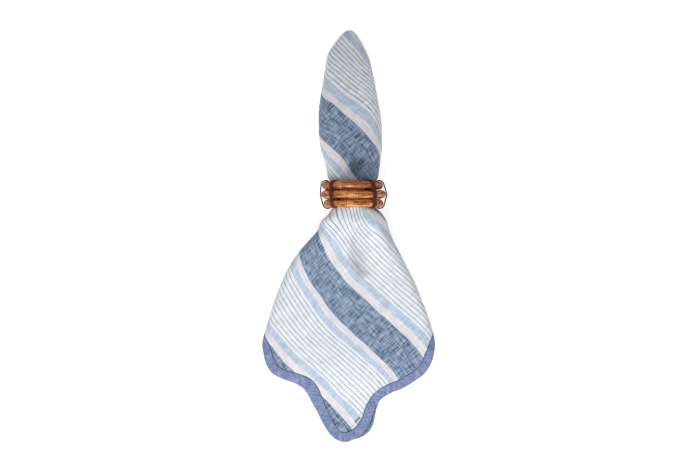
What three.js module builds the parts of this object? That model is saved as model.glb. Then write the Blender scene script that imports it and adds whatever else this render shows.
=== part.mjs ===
import * as THREE from "three";

// Cloth napkin folded in quarters and drawn through a bamboo cane ring.
// Millimetres. X runs across, Y from the bound corner up to the folded tip, Z is up.
// The napkin lies on its back on z = 0, with the sides of the fold turned under it.

// The cloth is four layers, apart at their hems and gathered into one bundle at the ring.
const LAYERS = 4;
const LAYER = 1.0;
const LAYER_GAP = 0.35;
const PITCH = LAYER + LAYER_GAP;
const STACK = LAYERS * LAYER + (LAYERS - 1) * LAYER_GAP;
const HOLLOW = 1.8;
const SEAM_GAP = 5.6;
const TIP_GAP = 1.2;

// The binding is one bias strip round the edge of the cloth.
const BINDING_WIDTH = 8.0;
const BINDING_RISE = 0.35;
const PIECE_GAP = 0.3;
const WRAP_STEPS = 4;

// Sections of the bundle: the two side folds, its top and its underside at each place along Y.
const SECTIONS = [
  { y: -190, left: -74.0, right: 74.0, top: 5.15, base: 0.0 },
  { y: -158, left: -74.0, right: 74.0, top: 5.3, base: 0.0 },
  { y: -140, left: -74.0, right: 74.0, top: 6.6, base: 0.0 },
  { y: -122, left: -74.0, right: 74.0, top: 10.2, base: 0.0 },
  { y: -108, left: -74.2, right: 74.2, top: 12.0, base: 0.0 },
  { y: -92, left: -73.8, right: 73.4, top: 12.4, base: 0.0 },
  { y: -80, left: -71.2, right: 71.2, top: 12.8, base: 0.0 },
  { y: -66, left: -67.0, right: 67.0, top: 13.6, base: 0.0 },
  { y: -53, left: -62.2, right: 61.8, top: 14.8, base: 0.0 },
  { y: -40, left: -57.0, right: 56.6, top: 16.6, base: 0.0 },
  { y: -28, left: -51.5, right: 50.4, top: 19.0, base: 0.0 },
  { y: -15, left: -43.1, right: 43.9, top: 22.6, base: 0.0 },
  { y: -5, left: -34.7, right: 38.6, top: 27.0, base: 0.0 },
  { y: 5, left: -26.1, right: 34.6, top: 32.0, base: 0.2 },
  { y: 12, left: -23.6, right: 32.4, top: 36.4, base: 1.6 },
  { y: 18, left: -19.2, right: 29.2, top: 40.6, base: 4.6 },
  { y: 21.6, left: -15.6, right: 25.6, top: 43.2, base: 8.0 },
  { y: 24.6, left: -12.6, right: 20.6, top: 43.9, base: 10.7 },
  { y: 46.4, left: -12.6, right: 20.6, top: 43.9, base: 10.7 },
  { y: 49.2, left: -16.9, right: 24.8, top: 44.2, base: 7.2 },
  { y: 56, left: -18.6, right: 26.0, top: 41.4, base: 2.6 },
  { y: 64, left: -20.6, right: 27.0, top: 37.6, base: 0.2 },
  { y: 75, left: -23.8, right: 27.8, top: 33.6, base: 0.0 },
  { y: 90, left: -25.6, right: 27.6, top: 30.4, base: 0.0 },
  { y: 104, left: -26.0, right: 26.2, top: 28.2, base: 0.0 },
  { y: 118, left: -24.6, right: 24.0, top: 25.6, base: 0.0 },
  { y: 130, left: -22.2, right: 22.2, top: 22.8, base: 0.0 },
  { y: 142, left: -20.0, right: 19.8, top: 19.2, base: 0.0 },
  { y: 152, left: -18.2, right: 17.2, top: 15.6, base: 0.0 },
  { y: 160, left: -15.0, right: 13.8, top: 12.2, base: 0.0 },
  { y: 167, left: -10.0, right: 9.8, top: 9.4, base: 0.2 },
  { y: 172, left: -5.4, right: 5.6, top: 6.8, base: 0.8 },
];
const TIP = { x: -0.4, y: 175, z: 3.6, inner: 173.2 };

// Soft folds of the front: a line from one end to the other, its breadth and its height.
const FOLDS = [
  { x0: 2, y0: 24, x1: 8, y1: -8, breadth: 8, height: 2.4 },
  { x0: 18, y0: 22, x1: 34, y1: -14, breadth: 6, height: 1.8 },
  { x0: -14, y0: 18, x1: -30, y1: -14, breadth: 6, height: 1.6 },
  { x0: 5, y0: -17, x1: 13, y1: -27, breadth: 8, height: -3.6 },
  { x0: -8, y0: 14, x1: -18, y1: -22, breadth: 6, height: -1.6 },
  { x0: 24, y0: -6, x1: 38, y1: -48, breadth: 9, height: 1.2 },
  { x0: -30, y0: -34, x1: -44, y1: -76, breadth: 12, height: 0.8 },
  { x0: 8, y0: -48, x1: 22, y1: -92, breadth: 14, height: 0.7 },
  { x0: -10, y0: 56, x1: -6, y1: 96, breadth: 6, height: -1.2 },
  { x0: 12, y0: 52, x1: 14, y1: 78, breadth: 6, height: 1.4 },
  { x0: 4, y0: 132, x1: 10, y1: 164, breadth: 6, height: -0.9 },
];

const HELD = { from: 13, to: 58, fade: 9 };

// The hem as it goes round the fold: across is measured along the surface from the front's
// middle, so past the side folds it lies on the underside. Along is Y.
const HEM = [
  { across: -152.0, along: -107.0 },
  { across: -138.0, along: -109.0 },
  { across: -120.0, along: -103.5 },
  { across: -101.0, along: -94.0 },
  { across: -86.0, along: -89.0 },
  { across: -77.5, along: -91.0 },
  { across: -73.4, along: -98.0 },
  { across: -70.2, along: -108.2 },
  { across: -64.8, along: -116.6 },
  { across: -55.8, along: -122.0 },
  { across: -45.0, along: -126.4 },
  { across: -37.2, along: -131.6 },
  { across: -31.8, along: -139.4 },
  { across: -26.4, along: -150.0 },
  { across: -20.6, along: -161.6 },
  { across: -13.4, along: -171.2 },
  { across: -3.9, along: -175.5 },
  { across: 5.6, along: -172.6 },
  { across: 12.6, along: -167.4 },
  { across: 18.4, along: -158.4 },
  { across: 22.2, along: -147.6 },
  { across: 27.4, along: -139.4 },
  { across: 35.8, along: -133.7 },
  { across: 46.0, along: -129.6 },
  { across: 55.4, along: -123.8 },
  { across: 63.8, along: -117.6 },
  { across: 69.6, along: -109.4 },
  { across: 74.0, along: -98.0 },
  { across: 77.6, along: -90.4 },
  { across: 86.0, along: -88.0 },
  { across: 101.0, along: -93.6 },
  { across: 120.0, along: -103.6 },
  { across: 138.0, along: -109.4 },
  { across: 152.0, along: -107.4 },
];
const FRONT_STEP = 6.2;
const FOLD_STEP = 3.2;
const FOLD_REACH = 11;
const BACK_STEP = 10;

// How far each layer's hem shows past the top one, beside the corner scallop.
const PEEK = [
  { layer: 1, past: 0.0 },
  { layer: 2, past: 3.4 },
  { layer: 3, past: 2.2 },
  { layer: 4, past: 1.0 },
];
const PEEK_ACROSS = 17;
const PEEK_BREADTH = 8;

// Rows of the cloth up from the hem: first where the layers are apart, then to the tip.
const LOOSE_ROWS = [0, 7, 17, 30];
const LOOSE_END = 46;
const SPREAD_ROWS = 4;
const SHARED_FROM = -15;
const SPREAD = 0.8;
const SPREAD_FROM = -70;
const SPREAD_TO = 12;

// The ring is three canes bent round, one beside the other, and ties of split cane.
const RING = { x: 4.0, z: 27.3 };
const CANE = 3.4;
const NODE_RISE = 0.45;
const NODE_REACH = 4.2;
const CANE_SIDES = 10;
const CANE_STEP = 15;
const CANES = [
  { name: "cane_upper", x: 3.4, y: 42.7, bend: 22.4, sway: 0.16, turn: 60 },
  { name: "cane_middle", x: 4.3, y: 35.05, bend: 23.9, sway: 0.14, turn: 200 },
  { name: "cane_lower", x: 4.3, y: 27.4, bend: 21.8, sway: 0.16, turn: 310 },
];
const NODES = {
  cane_upper: [-67, -25, 65, 158, 250],
  cane_middle: [-70, 0, 68, 162, 252],
  cane_lower: [-68, -14, 29, 67, 200],
};
const TIE = 0.7;
const TIE_CLEAR = 0.45;
const TIE_STEPS = 20;
const TIES = [
  { name: "tie_front_left", angle: -45, width: 4.2, lean: 0.0, bow: 1.1 },
  { name: "tie_front_right", angle: 43, width: 5.0, lean: -0.1, bow: -1.1 },
  { name: "tie_side_left", angle: -90, width: 4.4, lean: 0.0, bow: 0.0 },
  { name: "tie_side_right", angle: 90, width: 4.4, lean: 0.0, bow: 0.0 },
  { name: "tie_back_left", angle: -138, width: 4.4, lean: 0.0, bow: 0.0 },
  { name: "tie_back_right", angle: 138, width: 4.4, lean: 0.0, bow: 0.0 },
];

const COLOURS = {
  cloth: 0xdfe5ec,
  binding: 0x8b99bb,
  cane: 0xb9773f,
  tie: 0x4a2a1c,
};

// Numbers
const clamp = (value, low, high) => Math.min(high, Math.max(low, value));
const mix = (a, b, share) => a + (b - a) * share;
const ease = (share) => {
  const s = clamp(share, 0, 1);
  return s * s * (3 - 2 * s);
};
const radians = (degrees) => (degrees * Math.PI) / 180;

// A column of a table at y, on a smooth curve through the rows
function column(table, key, y) {
  const last = table.length - 1;
  let i = 0;
  while (i < last - 1 && table[i + 1].y <= y) i += 1;
  const here = table[i];
  const next = table[i + 1];
  const span = next.y - here.y;
  const share = clamp((y - here.y) / span, 0, 1);
  const slope = (row) => {
    if (row === 0 || row === last) return 0;
    const before = table[row - 1];
    const after = table[row + 1];
    const rise = (table[row][key] - before[key]) / (table[row].y - before.y);
    const fall = (after[key] - table[row][key]) / (after.y - table[row].y);
    return rise * fall <= 0 ? 0 : (2 * rise * fall) / (rise + fall);
  };
  const s2 = share * share;
  const s3 = s2 * share;
  return (
    here[key] * (2 * s3 - 3 * s2 + 1) +
    slope(i) * span * (s3 - 2 * s2 + share) +
    next[key] * (3 * s2 - 2 * s3) +
    slope(i + 1) * span * (s3 - s2)
  );
}

// The bundle's section at y, drawn in by depth: straight top and underside and round sides
function sectionAt(y, depth) {
  const left = column(SECTIONS, "left", y);
  const right = column(SECTIONS, "right", y);
  const top = column(SECTIONS, "top", y);
  const base = column(SECTIONS, "base", y);
  const side = Math.max((top - base) / 2 - depth, 0.15);
  const half = Math.max((right - left) / 2 - depth - side, 0.01);
  const quarter = half + (Math.PI * side) / 2;
  return { middle: (left + right) / 2, top, base, depth, side, half, quarter };
}

// The height of the soft folds at a place on the front: none where the ring holds the cloth
function relief(x, y) {
  const held = ease((y - HELD.from) / HELD.fade) * ease((HELD.to - y) / HELD.fade);
  let height = 0;
  for (const fold of FOLDS) {
    const along = new THREE.Vector2(fold.x1 - fold.x0, fold.y1 - fold.y0);
    const length = along.length();
    along.divideScalar(length);
    const dx = x - fold.x0;
    const dy = y - fold.y0;
    const run = dx * along.x + dy * along.y;
    const off = dx * along.y - dy * along.x;
    const past = Math.max(0, -run, run - length) / fold.breadth;
    const aside = off / fold.breadth;
    height += fold.height * Math.exp(-2 * aside * aside - 2 * past * past);
  }
  return height * (1 - held);
}

// A place on the section at y: turn is -1 to 1 from the back's middle round the front to it
function placeOn(y, turn, depth, softness) {
  const s = sectionAt(y, depth);
  const reach = Math.abs(turn) * 2 * s.quarter;
  const hand = Math.sign(turn);
  const arc = Math.PI * s.side;
  let x = reach;
  let z = s.top - s.depth;
  let front = 1;
  if (reach > s.half + arc) {
    x = s.half - (reach - s.half - arc);
    z = s.base + s.depth;
    front = 0;
  } else if (reach > s.half) {
    const angle = (reach - s.half) / s.side;
    x = s.half + s.side * Math.sin(angle);
    z = mix(s.base + s.depth, s.top - s.depth, (1 + Math.cos(angle)) / 2);
    front = Math.max(0, Math.cos(angle));
  }
  x = s.middle + hand * x;
  const lift = ease(front) * softness * relief(x, y);
  return new THREE.Vector3(x, y, z + lift);
}

// How much of the soft folds reaches each depth: all of it where the layers are thin
const softnessAt = (y, depth) => {
  const thick = column(SECTIONS, "top", y) - column(SECTIONS, "base", y);
  const loose = ease((15 - thick) / 3);
  return mix(clamp(1 - (1.2 * depth) / thick, 0, 1) * (depth > STACK ? 0 : 1), 1, loose);
};

// The hem as a smooth line, and its samples: closest at the side folds
const hemLine = new THREE.CatmullRomCurve3(
  HEM.map((row) => new THREE.Vector3(row.across, row.along, 0)),
  false,
  "centripetal",
);
function hemSamples() {
  const fine = hemLine.getSpacedPoints(1600);
  const length = hemLine.getLength() / 1600;
  const fold = sectionAt(-95, 0).quarter;
  let weight = 0;
  const weights = fine.map((point) => {
    const here = weight;
    const past = Math.abs(point.x) - fold;
    const flat = past < 0 ? FRONT_STEP : BACK_STEP;
    weight += length / (Math.abs(past) < FOLD_REACH ? FOLD_STEP : flat);
    return here;
  });
  const count = Math.round(weights[weights.length - 1]);
  const samples = [];
  for (let i = 0; i <= count; i += 1) {
    const wanted = (weights[weights.length - 1] * i) / count;
    let k = weights.findIndex((value) => value >= wanted - 1e-9);
    k = clamp(k, 0, fine.length - 1);
    const before = fine[Math.max(0, k - 6)];
    const after = fine[Math.min(fine.length - 1, k + 6)];
    const run = after.clone().sub(before).normalize();
    if (i === 0 || i === count) run.set(1, 0, 0);
    samples.push({ at: fine[k], inward: new THREE.Vector3(-run.y, run.x, 0) });
  }
  return samples;
}
const hem = hemSamples();

// A point that lies inside the hem by some distance, in across and along
const insideHem = (sample, distance) =>
  sample.at.clone().addScaledVector(sample.inward, distance);

// Across, measured on the outer surface, as a turn of the section at that place
const turnOf = (point) => point.x / (2 * sectionAt(point.y, 0).quarter);

// The turn at the edge of the slit between the two side folds, on the underside
function lastTurn(y) {
  const s = sectionAt(y, 0);
  const girth = 2 * s.quarter;
  const gap = Math.min(mix(SEAM_GAP, TIP_GAP, ease((y + 60) / 80)), girth * 0.05);
  return 1 - gap / 2 / girth;
}

// Rows from the loose layers to the tip, the same for every strip of the cloth
const sharedRows = SECTIONS.map((row) => row.y).filter((y) => y >= SHARED_FROM);

// The cloth's strips run from the hem to the tip. They spread evenly as they rise, but those
// on a side fold stay on it.
const startTurns = hem.map((sample) => turnOf(insideHem(sample, BINDING_WIDTH + PIECE_GAP)));
const nearestTo = (turn) =>
  startTurns.reduce((best, value, i) =>
    Math.abs(value - turn) < Math.abs(startTurns[best] - turn) ? i : best, 0);
const leftFold = nearestTo(-0.5);
const rightFold = nearestTo(0.5);
function evenTurn(i) {
  const last = hem.length - 1;
  if (i < leftFold) return mix(-1, -0.5, i / leftFold);
  if (i > rightFold) return mix(0.5, 1, (i - rightFold) / (last - rightFold));
  return mix(-0.5, 0.5, (i - leftFold) / (rightFold - leftFold));
}
const strips = hem.map((sample, i) => {
  const start = insideHem(sample, BINDING_WIDTH + PIECE_GAP);
  const ys = LOOSE_ROWS.map((rise) => start.y + rise);
  const loose = start.y + LOOSE_END;
  ys.push(loose);
  for (let k = 1; k <= SPREAD_ROWS; k += 1) {
    ys.push(mix(loose, SHARED_FROM, k / (SPREAD_ROWS + 1)));
  }
  ys.push(...sharedRows);
  const endTurn = mix(startTurns[i], evenTurn(i), SPREAD);
  const edge = i === 0 || i === hem.length - 1;
  const rows = ys.map((y) => {
    const share = ease((y - SPREAD_FROM) / (SPREAD_TO - SPREAD_FROM));
    const turn = edge
      ? Math.sign(endTurn) * lastTurn(y)
      : mix(startTurns[i], endTurn, share);
    return { y, turn };
  });
  return rows;
});
const LOOSE = LOOSE_ROWS.length;
const ROWS = strips[0].length;

// The thickness of the bundle's wall: the bare layers at the hem, all the folds at the ring
function wallAt(y, row) {
  const full = sectionAt(y, 0).side;
  const packed = full - Math.min(HOLLOW / 2, full * 0.3);
  if (row <= LOOSE) return STACK;
  return mix(STACK, packed, ease((row - LOOSE) / (SPREAD_ROWS + 1)));
}

// A list of triangles as a geometry, its corners merged by number
class Shell {
  constructor() {
    this.points = [];
    this.faces = [];
  }
  add(point) {
    this.points.push(point.x, point.y, point.z);
    return this.points.length / 3 - 1;
  }
  face(a, b, c) {
    this.faces.push(a, b, c);
  }
  quad(a, b, c, d) {
    this.faces.push(a, b, c, a, c, d);
  }
  geometry() {
    const made = new THREE.BufferGeometry();
    made.setAttribute("position", new THREE.Float32BufferAttribute(this.points, 3));
    made.setIndex(this.faces);
    made.computeVertexNormals();
    return made;
  }
}

// The cloth: each strip's closed line goes over the top layer to the tip, back along the
// inside to the hem, and in and out between the loose layers
function clothGeometry() {
  const shell = new Shell();
  const tipOut = shell.add(new THREE.Vector3(TIP.x, TIP.y, TIP.z));
  const tipIn = shell.add(new THREE.Vector3(TIP.x, TIP.inner, TIP.z));
  const lines = strips.map((rows) => {
    const put = (row, depth) => {
      const { y, turn } = rows[row];
      return shell.add(placeOn(y, turn, depth, softnessAt(y, depth)));
    };
    const outer = [];
    const inner = [];
    for (let row = 0; row < ROWS; row += 1) {
      outer.push(put(row, 0));
      inner.push(put(row, wallAt(rows[row].y, row)));
    }
    const under = [];
    const over = [];
    const ends = [];
    for (let k = 1; k < LAYERS; k += 1) {
      const low = [];
      const high = [];
      for (let row = 0; row < LOOSE; row += 1) {
        low.push(put(row, k * PITCH - LAYER_GAP));
        high.push(put(row, k * PITCH));
      }
      under.push(low);
      over.push(high);
      ends.push(put(LOOSE, k * PITCH - LAYER_GAP / 2));
    }
    const loop = [...outer, tipOut, tipIn, ...[...inner].reverse()];
    for (let k = LAYERS - 2; k >= 0; k -= 1) {
      loop.push(...over[k], ends[k], ...[...under[k]].reverse());
    }
    return { outer, inner, under, over, ends, loop };
  });
  for (let i = 0; i + 1 < lines.length; i += 1) {
    const a = lines[i].loop;
    const b = lines[i + 1].loop;
    for (let k = 0; k < a.length; k += 1) {
      const n = (k + 1) % a.length;
      if (a[k] === b[k] && a[n] === b[n]) continue;
      if (a[n] === b[n]) shell.face(a[k], b[k], a[n]);
      else if (a[k] === b[k]) shell.face(a[k], b[n], a[n]);
      else shell.quad(a[k], b[k], b[n], a[n]);
    }
  }
  const close = (line, flip) => {
    const face = (a, b, c) => (flip ? shell.face(a, c, b) : shell.face(a, b, c));
    const tops = [line.outer, ...line.over];
    const bottoms = [...line.under, line.inner];
    for (let k = 0; k < LAYERS; k += 1) {
      for (let row = 0; row + 1 < LOOSE; row += 1) {
        face(tops[k][row], bottoms[k][row + 1], tops[k][row + 1]);
        face(tops[k][row], bottoms[k][row], bottoms[k][row + 1]);
      }
      const topEnd = k === 0 ? line.outer[LOOSE] : line.ends[k - 1];
      const lowEnd = k === LAYERS - 1 ? line.inner[LOOSE] : line.ends[k];
      face(tops[k][LOOSE - 1], lowEnd, topEnd);
      face(tops[k][LOOSE - 1], bottoms[k][LOOSE - 1], lowEnd);
      face(line.outer[LOOSE + 1], topEnd, lowEnd);
    }
    face(line.outer[LOOSE + 1], line.inner[LOOSE], line.inner[LOOSE + 1]);
    for (let row = LOOSE + 1; row + 1 < ROWS; row += 1) {
      face(line.outer[row], line.inner[row], line.inner[row + 1]);
      face(line.outer[row], line.inner[row + 1], line.outer[row + 1]);
    }
    face(line.outer[ROWS - 1], line.inner[ROWS - 1], tipIn);
    face(line.outer[ROWS - 1], tipIn, tipOut);
  };
  close(lines[0], true);
  close(lines[lines.length - 1], false);
  return shell.geometry();
}

// The binding: one strip that runs along all four layers' hems, and turns from layer to
// layer at the side folds, as the edge of the folded napkin does
function bindingGeometry() {
  const shell = new Shell();
  const rings = [];
  const peekOf = (layer, across) => {
    const off = (across - PEEK_ACROSS) / PEEK_BREADTH;
    return PEEK[layer].past * Math.exp(-off * off * 1.4);
  };
  const put = (sample, distance, depth) => {
    const flat = insideHem(sample, distance);
    const end = Math.abs(sample.at.x) > 151;
    const turn = end ? Math.sign(flat.x) * lastTurn(flat.y) : turnOf(flat);
    return placeOn(flat.y, turn, depth, softnessAt(flat.y, Math.max(depth, 0)));
  };
  const along = (layer, backwards) => {
    const order = backwards ? [...hem].reverse() : hem;
    const rise = layer === 0 ? BINDING_RISE : 0;
    const high = layer * PITCH - rise;
    const low = layer * PITCH + LAYER;
    for (const sample of order) {
      const past = -peekOf(layer, sample.at.x);
      const front = Math.abs(turnOf(sample.at)) < 0.42;
      const up = front ? high : layer * PITCH;
      const corner = {
        outHigh: put(sample, past, up),
        outLow: put(sample, past, low),
        inHigh: put(sample, BINDING_WIDTH, up),
        inLow: put(sample, BINDING_WIDTH, low),
      };
      rings.push(
        backwards
          ? [corner.outLow, corner.outHigh, corner.inHigh, corner.inLow]
          : [corner.outHigh, corner.outLow, corner.inLow, corner.inHigh],
      );
    }
  };
  // A half turn in X and Z from the last ring to the place where the next layer starts
  const wrap = (fromLayer, toLayer, hand) => {
    const last = rings[rings.length - 1];
    const near = hand > 0 ? hem[hem.length - 1] : hem[0];
    const middle = ((fromLayer + toLayer) * PITCH + LAYER) / 2;
    const spread = Math.abs(fromLayer - toLayer) * PITCH;
    const outward = (spread + LAYER) / 2;
    const inward = (spread - LAYER) / 2;
    const along = [0, BINDING_WIDTH].map((distance) => {
      const place = put(near, distance, 0);
      return { x: place.x, y: place.y };
    });
    const startsLow = fromLayer < toLayer;
    const outside = Math.abs(last[0].z - middle) > Math.abs(last[1].z - middle);
    for (let step = 1; step < WRAP_STEPS; step += 1) {
      const angle = (Math.PI * step) / WRAP_STEPS;
      const swing = startsLow ? -Math.cos(angle) : Math.cos(angle);
      const point = (edge, radius) =>
        new THREE.Vector3(
          edge.x - hand * radius * Math.sin(angle),
          edge.y,
          middle + radius * swing,
        );
      const [first, second] = outside ? [outward, inward] : [inward, outward];
      rings.push([
        point(along[0], first),
        point(along[0], second),
        point(along[1], second),
        point(along[1], first),
      ]);
    }
  };
  along(0, false);
  wrap(0, 3, 1);
  along(3, true);
  wrap(3, 2, -1);
  along(2, false);
  wrap(2, 1, 1);
  along(1, true);
  wrap(1, 0, -1);
  const numbers = rings.map((ring) => ring.map((point) => shell.add(point)));
  numbers.forEach((ring, i) => {
    const next = numbers[(i + 1) % numbers.length];
    for (let k = 0; k < 4; k += 1) {
      const n = (k + 1) % 4;
      shell.quad(ring[k], ring[n], next[n], next[k]);
    }
  });
  return shell.geometry();
}

// The ring's own directions at an angle from straight up, seen along Y
const outwardAt = (angle) => new THREE.Vector3(Math.sin(angle), 0, Math.cos(angle));
const roundAt = (angle) => new THREE.Vector3(Math.cos(angle), 0, -Math.sin(angle));

// A cane bent into a ring, a little uneven, with its joints raised
function caneGeometry(cane) {
  const shell = new Shell();
  const nodes = NODES[cane.name].map((node) => ((node % 360) + 360) % 360);
  const offsets = [-1.5, -0.6, 0, 0.6, 1.5];
  const apart = (a, b) => Math.abs(((((a - b + 180) % 360) + 360) % 360) - 180);
  const angles = nodes.flatMap((node) => offsets.map((off) => node + off * NODE_REACH));
  for (let angle = 0; angle < 360; angle += CANE_STEP) {
    if (nodes.every((node) => apart(node, angle) > NODE_REACH * 2.4)) angles.push(angle);
  }
  angles.sort((a, b) => a - b);
  const rings = angles.map((degrees) => {
    const angle = radians(degrees);
    const nearest = Math.min(...nodes.map((node) => apart(node, degrees)));
    const swell = Math.exp(-1.9 * (nearest / NODE_REACH) ** 2);
    const radius = CANE + NODE_RISE * swell;
    const sway = cane.sway * Math.sin(2 * angle + radians(cane.turn));
    const centre = outwardAt(angle)
      .multiplyScalar(cane.bend)
      .add(new THREE.Vector3(cane.x, cane.y + sway, RING.z));
    const ring = [];
    for (let k = 0; k < CANE_SIDES; k += 1) {
      const side = (2 * Math.PI * (k + 0.5)) / CANE_SIDES;
      const point = centre
        .clone()
        .addScaledVector(outwardAt(angle), radius * Math.cos(side))
        .add(new THREE.Vector3(0, radius * Math.sin(side), 0));
      ring.push(shell.add(point));
    }
    return ring;
  });
  rings.forEach((ring, i) => {
    const next = rings[(i + 1) % rings.length];
    for (let k = 0; k < CANE_SIDES; k += 1) {
      const n = (k + 1) % CANE_SIDES;
      shell.quad(ring[k], next[k], next[n], ring[n]);
    }
  });
  return shell.geometry();
}

// A tie: a flat band drawn tight round the three canes, straight as seen from above
function tieGeometry(tie) {
  const shell = new Shell();
  const angle = radians(tie.angle);
  const held = CANES.map((cane) => ({
    y: cane.y,
    out: cane.bend + (cane.x - RING.x) * Math.sin(angle),
  }));
  const around = (turn, offset) => {
    const out = Math.cos(turn);
    const over = Math.sin(turn);
    const touched = held.reduce((best, cane) =>
      cane.out * out + cane.y * over > best.out * out + best.y * over ? cane : best,
    );
    return { out: touched.out + offset * out, y: touched.y + offset * over };
  };
  const place = (turn, offset, side) => {
    const spot = around(turn, offset);
    const aside = (spot.y - CANES[1].y) / (CANES[0].y - CANES[1].y);
    const bowed = tie.bow * Math.max(0, 1 - aside * aside) * Math.max(0, Math.cos(turn));
    const shift = side * (tie.width / 2) + tie.lean * (spot.y - CANES[1].y) + bowed;
    return new THREE.Vector3(RING.x, spot.y, RING.z)
      .addScaledVector(outwardAt(angle), spot.out)
      .addScaledVector(roundAt(angle), shift);
  };
  const close = CANE + TIE_CLEAR;
  const rings = [];
  for (let i = 0; i < TIE_STEPS; i += 1) {
    const turn = (2 * Math.PI * (i + 0.5)) / TIE_STEPS;
    rings.push([
      shell.add(place(turn, close, -1)),
      shell.add(place(turn, close, 1)),
      shell.add(place(turn, close + TIE, 1)),
      shell.add(place(turn, close + TIE, -1)),
    ]);
  }
  rings.forEach((ring, i) => {
    const next = rings[(i + 1) % rings.length];
    for (let k = 0; k < 4; k += 1) {
      const n = (k + 1) % 4;
      shell.quad(ring[k], next[k], next[n], ring[n]);
    }
  });
  return shell.geometry();
}

function mesh(name, geometry, colour, roughness) {
  const material = new THREE.MeshStandardMaterial({ color: colour, roughness, metalness: 0 });
  const made = new THREE.Mesh(geometry, material);
  made.name = name;
  return made;
}

const group = new THREE.Group();
group.name = "napkin_in_ring";

const napkin = new THREE.Group();
napkin.name = "napkin";
napkin.add(mesh("cloth", clothGeometry(), COLOURS.cloth, 0.9));
napkin.add(mesh("binding", bindingGeometry(), COLOURS.binding, 0.9));
group.add(napkin);

const ring = new THREE.Group();
ring.name = "ring";
for (const cane of CANES) {
  ring.add(mesh(cane.name, caneGeometry(cane), COLOURS.cane, 0.4));
}
for (const tie of TIES) {
  ring.add(mesh(tie.name, tieGeometry(tie), COLOURS.tie, 0.6));
}
group.add(ring);

// The origin is on the ground under the middle of the whole thing
const box = new THREE.Box3().setFromObject(group);
const middle = box.getCenter(new THREE.Vector3());
group.position.set(-middle.x, -middle.y, -box.min.z);

export default group;
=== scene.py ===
# %% [markdown]
# A cloth napkin in a ring of bamboo cane.
# The napkin is one square of striped linen with a scalloped edge, and a bias strip is sewn
# round that edge. It is folded in quarters, its two side corners are turned under, and it is
# drawn through a ring of three bent canes that are tied together with split cane. The packed
# part is loaded first, because it says how big everything is and where it lies: X runs across,
# Y from the bound corner up to the folded tip, and Z is up.

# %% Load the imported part
import math

import bpy
import numpy as np
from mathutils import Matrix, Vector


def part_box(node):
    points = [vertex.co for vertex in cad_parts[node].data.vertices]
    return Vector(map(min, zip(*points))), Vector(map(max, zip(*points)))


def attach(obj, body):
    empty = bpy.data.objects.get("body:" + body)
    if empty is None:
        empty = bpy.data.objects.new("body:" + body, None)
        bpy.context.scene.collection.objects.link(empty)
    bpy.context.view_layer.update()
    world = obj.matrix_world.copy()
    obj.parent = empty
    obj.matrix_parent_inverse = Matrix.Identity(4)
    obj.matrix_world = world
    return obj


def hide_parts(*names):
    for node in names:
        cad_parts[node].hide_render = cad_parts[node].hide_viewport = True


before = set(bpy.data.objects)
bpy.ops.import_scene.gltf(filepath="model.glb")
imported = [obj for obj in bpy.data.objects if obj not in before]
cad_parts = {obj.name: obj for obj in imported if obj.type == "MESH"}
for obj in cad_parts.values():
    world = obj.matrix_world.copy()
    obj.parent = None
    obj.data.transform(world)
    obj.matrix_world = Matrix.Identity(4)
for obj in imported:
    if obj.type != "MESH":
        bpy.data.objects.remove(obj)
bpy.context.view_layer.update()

MM = 0.001
cloth_low, cloth_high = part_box("cloth")
TIP_ALONG = 175.0
HOME = np.array([(cloth_low.x + cloth_high.x) / 2, cloth_high.y - TIP_ALONG * MM, 0.0])
print("its own middle lies at", (HOME / MM).round(2), "mm")

# %% [markdown]
# A few small helpers keep the rest short. Smooth steps join one size to the next without a
# corner, and one function turns lists of points and faces into a Blender mesh. All sizes are
# written in millimetres, as a maker would, and become metres only here.

# %% Helpers for numbers and meshes
def ease(share):
    share = np.clip(share, 0.0, 1.0)
    return share * share * (3 - 2 * share)


def mix(a, b, share):
    return a + (b - a) * share


def bell(offset, breadth, sharp=1.0):
    """1 at the middle, less and less to both sides."""
    return np.exp(-sharp * (offset / breadth) ** 2)


def smooth_step(a, first, leaving, last, arriving):
    """From the first value to the last one, with a slope given at each."""
    a2, a3 = a * a, a * a * a
    return (first * (2 * a3 - 3 * a2 + 1) + leaving * (a3 - 2 * a2 + a)
            + last * (3 * a2 - 2 * a3) + arriving * (a3 - a2))


def ring_faces(count, around):
    """The four corners of each face of a grid of points that is closed both ways."""
    number = np.arange(count * around).reshape(count, around)
    onward = np.roll(number, -1, axis=0)
    return np.stack([number, onward, np.roll(onward, -1, axis=1),
                     np.roll(number, -1, axis=1)], -1)


def show(piece):
    bpy.context.scene.collection.objects.link(piece)
    return piece


def smooth(mesh):
    mesh.polygons.foreach_set("use_smooth", [True] * len(mesh.polygons))


def store(mesh, label, values):
    """One number kept on each point, for a material to read."""
    stored = mesh.attributes.new(label, "FLOAT", "POINT")
    stored.data.foreach_set("value", np.asarray(values, float))


def make_mesh(name, points, faces, material=None, flat=None, numbers=None):
    mesh = bpy.data.meshes.new(name)
    places = np.asarray(points, float) * MM + HOME
    mesh.from_pydata(places.tolist(), [], faces)
    smooth(mesh)
    if flat is not None:
        corner = np.empty(len(mesh.loops), np.int64)
        mesh.loops.foreach_get("vertex_index", corner)
        layer = mesh.uv_layers.new(name="flat")
        layer.data.foreach_set("uv", np.asarray(flat, float)[corner].ravel())
    for label, values in (numbers or {}).items():
        store(mesh, label, values)
    if material:
        mesh.materials.append(material)
    return show(bpy.data.objects.new(name, mesh))


def make_line(name, points, edges, home=0.0):
    mesh = bpy.data.meshes.new(name)
    mesh.from_pydata((np.array(points) * MM + home).tolist(), edges, [])
    return show(bpy.data.objects.new(name, mesh))


def as_plain_mesh(piece):
    """The piece with its modifiers worked into its mesh."""
    ready = piece.evaluated_get(bpy.context.evaluated_depsgraph_get())
    made = bpy.data.meshes.new_from_object(ready)
    piece.modifiers.clear()
    piece.data = made
    return piece


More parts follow.
